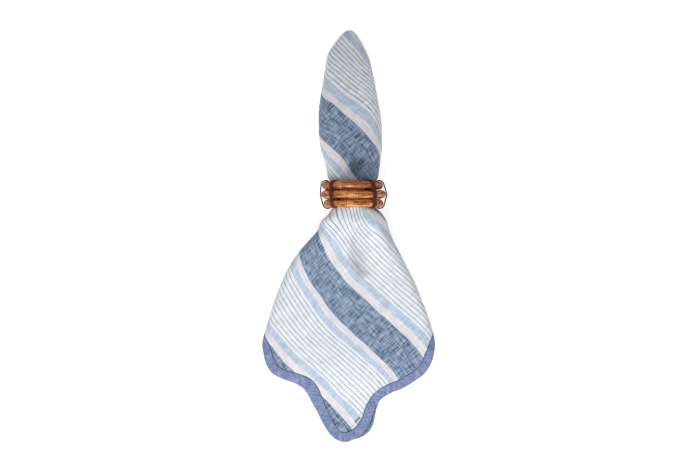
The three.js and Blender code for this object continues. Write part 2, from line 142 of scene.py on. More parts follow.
def triangles(piece):
    return sum(len(face.vertices) - 2 for face in piece.data.polygons)


def belongs(piece, slot, *nodes):
    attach(piece, "root")
    if nodes:
        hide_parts(*nodes)
    print(piece.name, "has", triangles(piece), "triangles")
    return piece


# %% [markdown]
# The folded napkin is a flat bundle at the bound corner, a crown where it rises to the ring, a
# round bundle inside the ring and a slim spindle above it. It could be draped by a simulation,
# but then every fold would land where it likes. Here a short table gives the bundle's section
# at each place along Y, which is how a maker would describe it with a ruler, and one function
# finds any point on that section: over the front, round the side fold and back underneath.

# %% The bundle's sections
SECTIONS = np.array([
    # along, left, right, top, base
    (-190, -74.0, 74.0, 5.15, 0.0),
    (-158, -74.0, 74.0, 5.3, 0.0),
    (-140, -74.0, 74.0, 6.6, 0.0),
    (-122, -74.0, 74.0, 10.2, 0.0),
    (-108, -74.2, 74.2, 12.0, 0.0),
    (-92, -73.2, 73.4, 12.4, 0.0),
    (-80, -70.4, 71.2, 12.8, 0.0),
    (-66, -66.5, 66.9, 13.6, 0.0),
    (-53, -62.2, 61.8, 14.8, 0.0),
    (-40, -57.0, 56.6, 16.6, 0.0),
    (-28, -51.5, 50.4, 19.0, 0.0),
    (-15, -43.1, 43.9, 22.6, 0.0),
    (-5, -34.7, 38.6, 27.0, 0.0),
    (5, -26.1, 34.6, 32.0, 0.2),
    (12, -23.6, 32.4, 36.4, 1.6),
    (18, -17.4, 29.0, 40.6, 4.6),
    (22.2, -14.6, 25.0, 43.4, 8.0),
    (25.2, -12.9, 20.9, 44.2, 10.4),
    (45.0, -12.9, 20.9, 44.2, 10.4),
    (47.8, -16.9, 24.6, 45.2, 7.2),
    (56, -18.6, 26.0, 41.4, 2.6),
    (64, -20.6, 27.0, 37.6, 0.2),
    (75, -23.7, 28.4, 33.6, 0.0),
    (90, -25.3, 28.3, 30.4, 0.0),
    (104, -25.3, 26.9, 28.2, 0.0),
    (118, -23.7, 24.4, 25.6, 0.0),
    (130, -21.6, 22.3, 22.8, 0.0),
    (142, -20.0, 19.8, 19.2, 0.0),
    (152, -18.2, 17.2, 15.6, 0.0),
    (156, -17.0, 15.6, 13.8, 0.0),
    (160, -14.4, 13.6, 12.2, 0.0),
    (167, -9.4, 9.7, 9.4, 0.2),
    (172, -5.2, 6.2, 6.8, 0.8),
    (174, -3.0, 4.4, 5.4, 1.8),
    (174.8, -0.9, 2.7, 4.4, 2.8),
])
LEFT, RIGHT, TOP, BASE = 1, 2, 3, 4
TIP = np.array([1.2, TIP_ALONG, 3.6])
RING_ALONG = 36.0


def column(number, along):
    """One column of the table at any place along Y, on a curve that never overshoots."""
    ys, values = SECTIONS[:, 0], SECTIONS[:, number]
    steps = np.diff(values) / np.diff(ys)
    product, total = steps[:-1] * steps[1:], steps[:-1] + steps[1:]
    slope = np.zeros(len(ys))
    slope[1:-1] = np.where(product > 0, 2 * product / np.where(total == 0, 1, total), 0)
    i = np.clip(np.searchsorted(ys, along, side="right") - 1, 0, len(ys) - 2)
    span = ys[i + 1] - ys[i]
    return smooth_step(np.clip((along - ys[i]) / span, 0, 1), values[i], slope[i] * span,
                       values[i + 1], slope[i + 1] * span)


def section(along, depth):
    """Middle, top, base, side radius, half the straight part, and a quarter of the girth."""
    left, right, top, base = (column(k, along) for k in (LEFT, RIGHT, TOP, BASE))
    side = np.maximum((top - base) / 2 - depth, 0.15)
    half = np.maximum((right - left) / 2 - depth - side, 0.01)
    return (left + right) / 2, top, base, side, half, half + np.pi * side / 2


def place_on(along, turn, depth, lift):
    """A point of the section: turn goes from -1 to 1, with the front's middle at 0."""
    middle, top, base, side, half, quarter = section(along, depth)
    reach = np.abs(turn) * 2 * quarter
    arc = np.pi * side
    angle = np.clip((reach - half) / side, 0, np.pi)
    under = reach > half + arc
    x = np.where(under, 2 * half + arc - reach, np.minimum(reach, half) + side * np.sin(angle))
    z = mix(base + depth, top - depth, (1 + np.cos(angle)) / 2)
    x = middle + np.sign(turn) * x
    return np.stack([x, along, z + ease(np.cos(angle)) * lift(x, along)], -1)


def quarter_girth(along):
    return section(along, 0.0)[5]


ring_girth = 4 * quarter_girth(np.array([RING_ALONG]))[0]
print("the bundle's girth in the ring is", round(ring_girth, 1), "mm")

# %% [markdown]
# Folded linen is never quite flat. Each soft fold here is one line with a breadth and a height:
# a raised roll where the cloth comes out of the ring, the hollow where that roll ends, the
# puff beside it, a second hollow above the ring, small pleats that fade a few centimetres from
# the ring, and wrinkles in the corner lobe. They are placed where they show on the real
# napkin, and the ring presses all of them flat.

# %% The folds and pleats of the front
# Each row says: from across, from along, to across, to along, breadth, height
FOLDS = np.array([
    (2, 24, 8, -8, 8, 2.4),
    (18, 22, 34, -14, 6, 1.8),
    (-14, 18, -30, -14, 6, 1.6),
    (5, -17, 13, -27, 6.8, -7.2),
    (-8, 14, -18, -22, 6, -1.6),
    (24, -6, 38, -48, 9, 1.2),
    (-30, -34, -44, -76, 12, 0.8),
    (8, -48, 22, -92, 14, 0.7),
    (-10, 56, -6, 96, 6, -1.2),
    (12, 52, 14, 78, 6, 1.4),
    (4, 132, 10, 164, 6, -0.9),
])
PLEATS = np.array([
    (-9, 24, -17, 4, 2.2, 0.7),
    (-5.5, 24, -9, 2, 1.8, -0.7),
    (-2, 24, -3, 2, 2.0, 0.8),
    (2.5, 24, 4, 0, 1.8, -0.6),
    (5.5, 24, 9, -4, 2.4, 0.9),
    (12, 24, 21, -2, 2.4, -0.7),
    (19, 22, 33, -8, 2.2, 0.6),
    (6, 55, 9, 65, 7.0, -6.6),
    (-12, 52, -14, 66, 2.2, 0.6),
    (0, 52, -2, 64, 2.0, -0.6),
    (16, 52, 18, 68, 2.4, 0.6),
    (-9, -158, -1, -161, 1.9, 0.8),
    (-8, -163.4, 0, -166, 1.7, 0.7),
    (3, -160.4, 9.8, -153.5, 1.5, -0.9),
])
# Little light gets into the deepest hollows, so painted shade darkens the cloth's colour
# there; the last number says by how much
PAINTED_HOLLOW_SHADE = np.array([
    (4, -6, 11, -24, 8.0, 0.26),
    (6, 50, 8, 62, 12.0, 0.34),
    (-10, 20, 18, 17, 9.0, 0.22),
])


def soft_lines(table, x, y):
    """The height of all the table's lines at a place, each one round in its section."""
    height = np.zeros(np.broadcast(x, y).shape)
    for x0, y0, x1, y1, breadth, rise in table:
        length = math.hypot(x1 - x0, y1 - y0)
        ax, ay = (x1 - x0) / length, (y1 - y0) / length
        run = (x - x0) * ax + (y - y0) * ay
        aside = ((x - x0) * ay - (y - y0) * ax) / breadth
        past = np.maximum(np.maximum(-run, run - length), 0) / breadth
        height += rise * np.exp(-2 * aside**2 - 2 * past**2)
    return height


def held_by_ring(y, start, end, fade):
    """From 0 in the open to 1 where the ring holds the cloth."""
    return ease((y - start) / fade) * ease((end - y) / fade)


def folds(x, y):
    return soft_lines(FOLDS, x, y) * (1 - held_by_ring(y, 13, 58, 9))


def pleats(x, y):
    rumple = 0.18 * np.sin(x / 13 + y / 31 + 1) * np.sin(y / 19 - x / 37)
    return (soft_lines(PLEATS, x, y) + rumple) * (1 - held_by_ring(y, 20, 52, 5))


print(len(FOLDS), "soft folds and", len(PLEATS), "small pleats")

# %% [markdown]
# The scalloped edge is cut as a row of round lobes, with one lobe at each corner. Measured
# round the bundle it starts on the underside, comes over the left side fold, dips round the
# corner lobe and goes back under on the right. A few given points and a smooth curve through
# them are enough; a curve that keeps to its points, as a draughtsman's spline does, gives
# round lobes and tight notches.

# %% The scalloped hem
HEM = np.array([
    # across, along
    (-152.0, -107.0), (-138.0, -109.0), (-120.0, -103.5), (-101.0, -94.0),
    (-86.0, -89.0), (-77.5, -91.0), (-73.4, -98.0), (-70.2, -108.2),
    (-64.8, -116.6), (-55.4, -121.6), (-44.4, -125.8), (-37.0, -131.2),
    (-32.6, -139.0), (-26.6, -150.0), (-20.6, -161.6), (-13.4, -171.2),
    (-3.9, -175.5), (5.6, -172.6), (12.6, -167.4), (18.4, -158.4),
    (22.2, -147.6), (27.4, -139.4), (35.8, -133.7), (46.0, -129.6),
    (55.4, -123.8), (63.8, -117.6), (69.6, -109.4), (74.0, -98.0),
    (77.6, -90.4), (86.0, -88.0), (101.0, -93.6), (120.0, -103.6),
    (138.0, -109.4), (152.0, -107.4),
])
FINE = 3000
# The side folds cross the hem about here; places this near to them are set close together
FOLD_ALONG, NEAR_FOLD = -95.0, 11.0
CURVE_STEPS = 60


def smooth_through(points, count):
    """Evenly spaced points on a centripetal curve through the given ones."""
    p = np.vstack([2 * points[0] - points[1], points, 2 * points[-1] - points[-2]])
    gap = np.sqrt(np.linalg.norm(np.diff(p, axis=0), axis=1))[:, None]
    rise = np.diff(p, axis=0) / gap
    wide = (p[2:] - p[:-2]) / (gap[:-1] + gap[1:])
    a, b, c = gap[1:-1], p[1:-2], p[2:-1]
    start = (rise[:-2] - wide[:-1] + rise[1:-1]) * a
    end = (rise[1:-1] - wide[1:] + rise[2:]) * a
    line = [smooth_step(u, b, start, c, end)
            for u in np.linspace(0, 1, CURVE_STEPS, endpoint=False)]
    line = np.vstack([np.stack(line, 1).reshape(-1, 2), points[-1:]])
    run = np.concatenate([[0], np.cumsum(np.linalg.norm(np.diff(line, axis=0), axis=1))])
    even = np.linspace(0, run[-1], count)
    return np.stack([np.interp(even, run, line[:, k]) for k in (0, 1)], 1), run[-1]


hem, hem_length = smooth_through(HEM, FINE)
LOOK = 12
ahead = np.roll(hem, -LOOK, axis=0) - np.roll(hem, LOOK, axis=0)
ahead[:LOOK], ahead[-LOOK:] = (1.0, 0.0), (1.0, 0.0)
ahead /= np.linalg.norm(ahead, axis=1)[:, None]
hem_inward = np.stack([-ahead[:, 1], ahead[:, 0]], 1)
print("the hem of one leaf is", round(hem_length), "mm long")


def hem_places(front_step, fold_step, back_step):
    """Numbers of the fine hem points, closest together on the side folds."""
    past = np.abs(hem[:, 0]) - quarter_girth(np.array([FOLD_ALONG]))[0]
    step = np.where(past < 0, front_step, back_step)
    step = np.where(np.abs(past) < NEAR_FOLD, fold_step, step)
    weight = np.cumsum(hem_length / FINE / step)
    wanted = np.linspace(weight[0], weight[-1], int(round(weight[-1])) + 1)
    return np.clip(np.searchsorted(weight, wanted), 0, FINE - 1)


def turn_of(across, along):
    return across / (2 * quarter_girth(along))


# %% [markdown]
# Linen of this weight is about half a millimetre thick. Folded in quarters it lies in four
# layers, joined in pairs along the folds that end up underneath, on both sides of a slit. So
# the whole napkin is one disc: the first layer over the front, round the fold to the fourth,
# back, round to the third, and so on, with its middle at the tip. It is built in that order as
# one grid, which keeps every fold joined as the real ones are.

# %% Sizes of the cloth's layers
THICKNESS = 0.45
PITCH = 1.35
STACK = 5.05
HOLLOW = 1.8
SEAM_GAP, TIP_GAP = 5.6, 1.2
EDGE_IN_BINDING = 3.0
# Rows follow the hem up to here and lie straight across from here on; the columns, close
# together at the hem's turns, spread evenly between the other two places
SHARED_FROM, SHARED_TO = -15.0, SECTIONS[-1, 0]
SPREAD, SPREAD_FROM, SPREAD_TO = 0.8, -70.0, 12.0
LOWER_ROWS, UPPER_ROWS = 60, 90
# The layers in the order in which the cloth passes through them, and which way it runs
LAYER_ORDER = ((0, True), (3, False), (2, True), (1, False))
FOLD_STEPS = 3
# How far each leaf's edge shows past the one above it, beside the corner lobe
PEEK = (0.0, 4.0, 2.6, 1.2)
PEEK_ACROSS, PEEK_BREADTH = 16.5, 8.8
# There the top leaf also curls up a little from the one below
CURL, CURL_FADE = 1.4, 9.0


def beside_lobe(across):
    return bell(across - PEEK_ACROSS, PEEK_BREADTH, 1.4)


def past_of(layer, across):
    return PEEK[layer] * beside_lobe(across)


def curl_of(layer, across, inside):
    """How far the top leaf stands up beside the corner lobe, less and less away from its edge."""
    raised = CURL if layer == 0 else 0.0
    return raised * beside_lobe(across) * np.exp(-inside / CURL_FADE)


def softness(along, depth):
    """How much of the folds reaches a layer: all of it where the bundle is thin."""
    thick = column(TOP, along) - column(BASE, along)
    inside = np.clip(1 - 1.2 * depth / thick, 0, 1)
    return mix(inside, 1.0, ease((15 - thick) / 3))


def half_gap(along):
    """Half the slit on the underside, which closes up towards the tip."""
    gap = mix(SEAM_GAP, TIP_GAP, ease((along + 60) / 80))
    return np.minimum(gap, 4 * quarter_girth(along) * 0.05) / 2


def last_turn(along):
    """Where a leaf stops on the underside, beside the slit."""
    return 1 - half_gap(along) / (2 * quarter_girth(along))


def half_turn(first, second, hand, bulge):
    """Steps that carry one leaf's edge round to the next one's, about the line midway."""
    middle, arm = (first + second) / 2, (first - second) / 2
    made = []
    for k in range(1, FOLD_STEPS + 1):
        angle = math.pi * k / (FOLD_STEPS + 1)
        step = middle + arm * math.cos(angle)
        step[:, 0] -= hand * bulge * math.sin(angle)
        made.append(step)
    return np.array(made)


def with_next(leaves):
    """Each leaf with the one it turns into, and to which side it turns."""
    return zip(leaves, leaves[1:] + leaves[:1], (1, -1, 1, -1))


def depth_of(layer, along):
    """The layers close up towards the tip, where the cloth's own middle is."""
    side = section(along, 0.0)[3]
    packed = side - np.minimum(HOLLOW / 2, side * 0.3)
    squeeze = np.where(along > SHARED_FROM, np.minimum(packed / STACK, 1.0), 1.0)
    return (layer * PITCH + THICKNESS / 2) * squeeze


def gather(places):
    """Small gathers that the seam leaves along the edge."""
    run = places * hem_length / FINE
    return 0.14 * np.sin(run / 1.15 + 2 * np.sin(run / 17))


def layer_grid(layer, steps):
    """The layer's columns from left to right, each with its rows from the hem to the tip."""
    places = hem_places(*steps)
    across = hem[places, 0]
    inset = EDGE_IN_BINDING - past_of(layer, across)
    start = hem[places] + hem_inward[places] * inset[:, None]
    start_turn = turn_of(start[:, 0], start[:, 1])
    left, right = (int(np.argmin(np.abs(start_turn - side))) for side in (-0.5, 0.5))
    even = np.interp(np.arange(len(places)), [0, left, right, len(places) - 1],
                     [-1, -0.5, 0.5, 1])
    end_turn = mix(start_turn, even, SPREAD)
    lower = np.linspace(0, 1, LOWER_ROWS, endpoint=False)
    shared = mix(SHARED_FROM, SHARED_TO, np.linspace(0, 1, UPPER_ROWS) ** 0.94)
    y = np.hstack([
        start[:, 1:] + (SHARED_FROM - start[:, 1:]) * lower,
        np.broadcast_to(shared, (len(places), UPPER_ROWS)),
    ])
    share = ease((y - SPREAD_FROM) / (SPREAD_TO - SPREAD_FROM))
    turn = mix(start_turn[:, None], end_turn[:, None], share)
    last = last_turn(y)
    turn = np.clip(turn, -last, last)
    turn[0], turn[-1] = -last[0], last[-1]
    depth = depth_of(layer, y)
    soft = softness(y, depth)
    pucker = gather(places)
    inside = np.maximum(y - start[:, 1:], 0)
    pucker = pucker[:, None] * np.exp(-np.maximum(inside - 4, 0) / 6)
    pucker = pucker + curl_of(layer, across[:, None], inside)

    def lift(x, along):
        return soft * (folds(x, along) + pleats(x, along)) + pucker

    return place_on(y, turn, depth, lift), y, turn


print("four layers", THICKNESS, "mm thick, one every", PITCH, "mm")

# %% [markdown]
# The stripes tell where the flat cloth ended up, because they were straight before it was
# folded. On a flat fold they would run at 45 degrees. On the real napkin they bend as the cloth
# is gathered into the ring, so a few points are noted along several stripe edges, and a thin
# plate, bent as little as possible, is passed through them. The same plate then tells, for any
# other point of the front, which thread of the flat cloth lies there.

# %% Where each thread of the flat cloth lies
PIXEL = 0.853
PHOTO_MIDDLE = (348.5, 236.0)
# Across the stripes, the distance from the cut edge in millimetres; then places of that
# thread in the photograph, right and down from its corner
THREADS = {
    17.7: [(272.5, 347.5), (287, 365), (326.8, 400.5), (346.8, 422.3), (352.3, 429.5)],
    23.6: [(330.5, 395), (355, 422.3)],
    26.3: [(268, 326), (282, 344), (306, 367.5)],
    29.0: [(338.6, 395), (350, 405.5), (360, 416.4)],
    64.5: [(350, 346.6)],
    67.25: [(293, 267), (303, 287), (317, 308.5), (333, 328), (350, 343), (370, 360), (389, 379)],
    75.5: [(299.5, 254), (306, 274), (321, 297), (348, 328.5), (375.6, 354), (398.6, 380)],
    103.9: [(318, 231.5), (326.5, 255), (345, 281), (371, 305), (398.6, 330), (423.5, 357)],
    112.8: [(321, 227), (337, 250), (350, 268.5), (370, 288), (391, 307.5), (417, 330)],
    125.0: [(332.3, 207.6)],
    128.3: [(337.3, 207.6)],
    131.7: [(340.9, 207.6)],
    135.1: [(345, 207.6)],
    138.5: [(349.1, 207.6)],
    141.8: [(352.7, 207.6)],
    145.2: [(355.9, 207.6)],
    148.6: [(359.5, 207.6)],
    153.75: [(364, 210), (373, 223), (385.5, 232.5), (394, 245), (329.3, 160.9), (338.4, 170),
             (345.6, 178.2)],
    156.4: [(328.4, 154.5), (336.5, 162.7), (343.8, 171.8)],
    161.9: [(377.8, 213.3), (382.8, 217.8), (387.8, 226), (320, 137), (325.6, 142.7),
            (333.8, 150), (342, 157.8), (348.4, 167.3), (353.5, 175)],
    190.3: [(321.6, 93.6), (332, 103.1), (341.1, 110.9), (351.1, 120), (360.2, 128.2),
            (370.2, 139.1), (377.5, 149.1)],
    196.4: [(330.2, 94), (339.3, 101.3), (351.1, 110), (361.1, 117.3), (370.2, 126.4),
            (376.5, 136.4)],
    202.0: [(333.5, 84.5), (344, 93.5), (356, 101.5), (366, 109.5), (374, 119)],
    240.15: [(346.5, 34.5), (353.3, 42), (361.7, 51), (367.5, 60)],
}
CORNER = 130.6
STIFFNESS = 0.12
# The lens hangs over the middle of the photograph
LENS_HEIGHT = 2200.0
LENS_OVER = (350.0, 233.5)


def unrolled(x, along):
    """Across, measured along the surface instead of straight over it."""
    middle, _, _, side, half, _ = section(along, 0.0)
    off = np.abs(x - middle)
    angle = np.arcsin(np.clip((off - half) / side, 0, 1))
    return middle + np.sign(x - middle) * (np.minimum(off, half) + side * angle)


def plain_thread(across, along):
    return (across + along) / math.sqrt(2) + CORNER


def on_table(px, py):
    """A place in the photograph as a place on the table."""
    return np.array([(px - PHOTO_MIDDLE[0]) * PIXEL, (PHOTO_MIDDLE[1] - py) * PIXEL])


def below_lens(px, py):
    """A place in the photograph on the napkin itself, which is nearer to the lens."""
    spot, centre = on_table(px, py), on_table(*LENS_OVER)
    middle, top, base, side, half, _ = section(spot[1:], 0.0)
    off = np.clip((np.abs(spot[0] - middle) - half) / side, 0, 0.98)
    height = base + side + (top - base - side) * np.sqrt(1 - off**2)
    return centre + (spot - centre) * (1 - height[0] / LENS_HEIGHT)


noted = np.array([(*below_lens(px, py), thread)
                  for thread, spots in THREADS.items() for px, py in spots])
drift = noted[:, 2] - plain_thread(unrolled(noted[:, 0], noted[:, 1]), noted[:, 1])
BATCH = 8000


def plate(places):
    r2 = ((places[:, None, :] - noted[None, :, :2]) ** 2).sum(-1) / 1e4
    return 0.5 * r2 * np.log(r2 + 1e-9)


linear = np.hstack([np.ones((len(noted), 1)), noted[:, :2] / 100])
system = np.block([[plate(noted[:, :2]) + STIFFNESS * 1e-3 * np.eye(len(noted)), linear],
                   [linear.T, np.zeros((3, 3))]])
weights = np.linalg.solve(system, np.concatenate([drift, np.zeros(3)]))


def thread_at(x, along, turn):
    """Distance from the cut edges, across and along the stripes, in millimetres."""
    middle, _, _, side, half, quarter = section(along, 0.0)
    across = middle + turn * 2 * quarter
    shown = np.clip(x, middle - half - side, middle + half + side).ravel()
    spots = np.stack([shown, np.broadcast_to(along, x.shape).ravel()], 1)
    correction = np.concatenate([
        plate(part) @ weights[:-3] + weights[-3] + part @ weights[-2:] / 100
        for part in np.split(spots, range(BATCH, len(spots), BATCH))
    ])
    s = plain_thread(across, along) + correction.reshape(x.shape)
    t = (along - across) / math.sqrt(2) + CORNER
    return s, t


print(len(noted), "places noted on", len(THREADS), "threads; the largest drift is",
      round(float(np.abs(drift).max()), 1), "mm")

# %% [markdown]
# Linen woven from dyed yarn has its colours in the threads, so the stripes are drawn from the
# flat cloth's own measure, kept on the mesh as a UV map, and they follow every fold. A stripe
# of blue yarn crossed by white yarn is a chambray: seen close it is a mixture of pale and dark
# flecks, and it has thick places, or slubs. The weave is raised a little by a bump. A colour
# ramp holds the stripes of one repeat, which is how a weaver writes them down.

# %% Colours of the cloth and its stripes
CUT = 508.0
REPEAT = 86.4
REPEAT_START = -10.9
DARK = (0.052, 0.102, 0.210)
WHITE = (0.765, 0.762, 0.800)
PALE = (0.550, 0.635, 0.765)
GROUND = (0.820, 0.850, 0.905)
LINE = (0.290, 0.330, 0.400)
# The lines are coloured darker from the ring to the folded tip, by where they lie along Y
DEEP_LINE = (0.120, 0.155, 0.220)
FADE_FROM, FADE_TO = (-25 * MM + HOME[1], 30 * MM + HOME[1])
STRIPES = [
    # ends at, colour
    (28.4, DARK), (34.5, WHITE), (40.1, PALE), (75.6, GROUND), (80.9, PALE), (86.4, WHITE),
]
FIRST_LINE, LINE_PITCH, LINE_WIDTH, LINES_WITHIN = 42.5, 3.38, 0.66, (40.8, 74.7)
# Two tight little creases across the stripes near the corner lobe, with painted shade in their
# hollow
TUCKS = [
    # from, to, place along the stripes, half breadth, how dark the painted shade is
    (23.2, 29.0, 14.6, 1.05, 0.92),
    (17.9, 21.6, 13.6, 0.50, 0.40),
]
TUCK_SHADE = (0.110, 0.145, 0.200)
# Pale yarn between the blue, its thick places, and the blue ticks that cross the pale stripes
PALE_YARN, SLUB_YARN, TICK = (0.56, 0.66, 0.80), (0.62, 0.70, 0.78), (0.30, 0.41, 0.56)
# How fine each kind of fleck is, along the flat cloth's two directions
WARP, WEFT, SLUB, TICKS = (540, 48), (48, 540), (70, 520), (90, 620)
YARN = 0.62
SOFT_EDGE = 0.22


class Graph:
    """Short words for adding nodes and joining them."""

    def __init__(self, node_tree):
        self.nodes, self.links = node_tree.nodes, node_tree.links

    def add(self, kind, settings=None, **sockets):
        node = self.nodes.new(kind)
        for key, value in (settings or {}).items():
            setattr(node, key, value)
        for key, value in sockets.items():
            self.put(node.inputs[key.replace("_", " ")], value)
        return node

    def made(self, kind, settings=None, **sockets):
        """What a new node gives first."""
        return self.add(kind, settings, **sockets).outputs[0]

    def put(self, socket, value):
        if isinstance(value, bpy.types.NodeSocket):
            self.links.new(value, socket)
        else:
            socket.default_value = value


class Tree(Graph):
    """Short words for building a material's nodes."""

    def __init__(self, name):
        self.material = bpy.data.materials.new(name)
        self.material.use_nodes = True
        super().__init__(self.material.node_tree)
        self.shader = self.nodes["Principled BSDF"]

    def surface(self, colour, roughness, normal=None, **others):
        """Puts the colour and the rest on the shader, and gives the material back."""
        self.put(self.shader.inputs["Base Color"], colour)
        self.put(self.shader.inputs["Roughness"], roughness)
        for key, value in others.items():
            self.put(self.shader.inputs[key.replace("_", " ")], value)
        if normal is not None:
            self.put(self.shader.inputs["Normal"], normal)
        return self.material

    def number(self, label):
        """The number stored on the mesh under this name."""
        return self.add("ShaderNodeAttribute", {"attribute_name": label}).outputs["Fac"]

    def flat(self):
        return self.made("ShaderNodeUVMap", {"uv_map": "flat"})

    def here(self):
        return self.add("ShaderNodeTexCoord").outputs["Object"]

    def math(self, operation, a, b=0.0, c=0.0):
        node = self.add("ShaderNodeMath", {"operation": operation})
        for socket, value in zip(node.inputs, (a, b, c)):
            self.put(socket, value)
        return node.outputs[0]

    def times(self, *factors):
        product = factors[0]
        for factor in factors[1:]:
            product = self.math("MULTIPLY", product, factor)
        return product

    def cycle(self, value, start, length):
        """How far through its repeat a measure is, from 0 to 1."""
        return self.math("FRACT", self.math("DIVIDE", self.math("SUBTRACT", value, start),
                                            length))

    def apart(self, a, b):
        return self.math("ABSOLUTE", self.math("SUBTRACT", a, b))

    def between(self, value, low, high, to_low=0.0, to_high=1.0):
        node = self.add("ShaderNodeMapRange", {"interpolation_type": "SMOOTHSTEP"})
        for socket, given in zip(node.inputs, (value, low, high, to_low, to_high)):
            self.put(socket, given)
        return node.outputs[0]

    def within(self, value, low, high, soft):
        """1 between the two limits, with soft edges."""
        return self.times(self.between(value, low - soft, low + soft),
                          self.between(value, high - soft, high + soft, 1.0, 0.0))

    def blend(self, share, a, b, kind="MIX"):
        node = self.nodes.new("ShaderNodeMix")
        node.data_type, node.blend_type = "RGBA", kind
        self.put(node.inputs[0], share)
        self.put(node.inputs[6], a if isinstance(a, bpy.types.NodeSocket) else (*a, 1))
        self.put(node.inputs[7], b if isinstance(b, bpy.types.NodeSocket) else (*b, 1))
        return node.outputs[2]

    def noise(self, place, scale, detail=2.0, rough=0.5):
        return self.made("ShaderNodeTexNoise", Vector=place, Scale=scale, Detail=detail,
                         Roughness=rough)

    def grain(self, place, scale, detail=0.0, rough=0.5):
        """Noise with its own scale in each direction, drawn out where that is small."""
        drawn = self.made("ShaderNodeMapping", Vector=place, Scale=(*scale, 1.0)[:3])
        return self.noise(drawn, 1.0, detail, rough)

    def bump(self, height, distance, strength=1.0, under=None):
        node = self.add("ShaderNodeBump", Height=height, Distance=distance, Strength=strength)
        if under is not None:
            self.put(node.inputs["Normal"], under)
        return node.outputs["Normal"]


def woven(tree, s, t, place):
    """The mixture of pale and dark flecks, and the raised threads."""
    fleck = tree.math("ADD", *(tree.between(tree.grain(place, scale), 0.37, 0.63)
                               for scale in (WARP, WEFT)))
    slub = tree.between(tree.grain(place, SLUB), 0.66, 0.76)
    over, beside = (tree.math("SINE", tree.times(measure, 2 * math.pi / YARN))
                    for measure in (s, t))
    return fleck, slub, tree.math("MULTIPLY_ADD", fleck, 0.5, tree.times(over, beside))


def cloth_measure(tree):
    place = tree.flat()
    split = tree.add("ShaderNodeSeparateXYZ", Vector=place).outputs
    return place, tree.times(split["X"], CUT), tree.times(split["Y"], CUT)


def striped_linen():
    tree = Tree("striped linen")
    place, s, t = cloth_measure(tree)
    fleck, slub, raised = woven(tree, s, t, place)
    waver = tree.grain(place, (60, 25), 1.0)
    s = tree.math("MULTIPLY_ADD", waver, 0.7, tree.math("ADD", s, -0.35))
    part = tree.cycle(s, REPEAT_START, REPEAT)
    ramp = tree.add("ShaderNodeValToRGB", Fac=part)
    stops = ramp.color_ramp.elements
    stops[0].position, stops[0].color = 0.0, (*STRIPES[0][1], 1)
    stops[1].position, stops[1].color = 1.0, (*STRIPES[-1][1], 1)
    for (end, colour), (_, after) in zip(STRIPES[:-1], STRIPES[1:]):
        for offset, shade in ((-SOFT_EDGE, colour), (SOFT_EDGE, after)):
            stop = stops.new((end + offset) / REPEAT)
            stop.color = (*shade, 1)
    inside = tree.times(part, REPEAT)
    phase = tree.cycle(inside, FIRST_LINE - LINE_PITCH / 2, LINE_PITCH)
    off = tree.times(tree.apart(phase, 0.5), LINE_PITCH)
    line = tree.between(off, LINE_WIDTH / 2 - 0.2, LINE_WIDTH / 2 + 0.2, 1.0, 0.0)
    line = tree.times(line, tree.within(inside, *LINES_WITHIN, 0.1))
    up = tree.add("ShaderNodeSeparateXYZ", Vector=tree.here()).outputs["Y"]
    deep = tree.between(up, FADE_FROM, FADE_TO)
    colour = tree.blend(line, ramp.outputs["Color"], tree.blend(deep, LINE, DEEP_LINE))
    blue = tree.between(tree.add("ShaderNodeSeparateColor", Color=colour).outputs["Red"],
                        0.16, 0.75, 1.0, 0.0)
    colour = tree.blend(tree.times(fleck, 0.29, blue), colour, PALE_YARN)
    colour = tree.blend(tree.times(slub, blue, 0.40), colour, SLUB_YARN)
    tick = tree.times(tree.between(tree.grain(place, TICKS), 0.52, 0.62),
                      tree.between(blue, 0.05, 0.3, 0.0, 0.42))
    colour = tree.blend(tick, colour, TICK)
    # The weave's flecks vary the tone, and the stored numbers paint shade into the hollows
    shade = tree.times(tree.between(fleck, 0.1, 1.8, 0.82, 1.04),
                       tree.math("SUBTRACT", 1.0, tree.number("hollow")))
    # Painted shade in the hollow of each tuck
    for from_s, to_s, at_t, breadth, strength in TUCKS:
        over_it = tree.between(tree.apart(t, at_t), breadth * 0.4, breadth, strength, 0.0)
        share = tree.times(tree.within(s, from_s, to_s, 0.5), over_it)
        colour = tree.blend(share, colour, TUCK_SHADE)
    grey = tree.made("ShaderNodeCombineColor", Red=shade, Green=shade, Blue=shade)
    colour = tree.blend(1.0, colour, grey, "MULTIPLY")
    wave = tree.bump(tree.grain(place, (45, 45), 3.0, 0.55), 0.0012, 0.55)
    return tree.surface(colour, 0.88, tree.bump(raised, 0.00006, 0.8, wave),
                        Sheen_Weight=0.12, Specular_IOR_Level=0.25)


linen = striped_linen()
print("one repeat of", len(STRIPES), "stripes is", REPEAT, "mm;", linen.name, "is ready")

# %% [markdown]
# Now the napkin itself. The front layer gets close columns, because it is what anybody sees,
# and the three under it get wide ones. Each fold on the underside is a half turn between the
# edges of two layers. Solidify then gives the sheet its real thickness.

# %% The folded napkin
CLEAR_OF_TABLE = 0.06
FRONT_STEPS, HIDDEN_STEPS = (1.9, 1.7, 5.0), (8.5, 3.4, 10.0)
leaves = []
for layer, forwards in LAYER_ORDER:
    grid, y, turn = layer_grid(layer, FRONT_STEPS if layer == 0 else HIDDEN_STEPS)
    leaf = grid, y, np.stack(thread_at(grid[..., 0], y, turn), -1)
    leaves.append(leaf if forwards else tuple(part[::-1] for part in leaf))
grids, measures = [], []
shares = np.arange(1, FOLD_STEPS + 1)[:, None, None] / (FOLD_STEPS + 1)
for (grid, _, measure), (next_grid, next_y, next_measure), hand in with_next(leaves):
    between = np.linalg.norm(grid[-1] - next_grid[0], axis=1)
    bulge = np.minimum(between / 2, half_gap(next_y[0]) * 0.8)
    grids += [grid, half_turn(grid[-1], next_grid[0], hand, bulge)]
    measures += [measure, mix(measure[-1], next_measure[0], shares)]

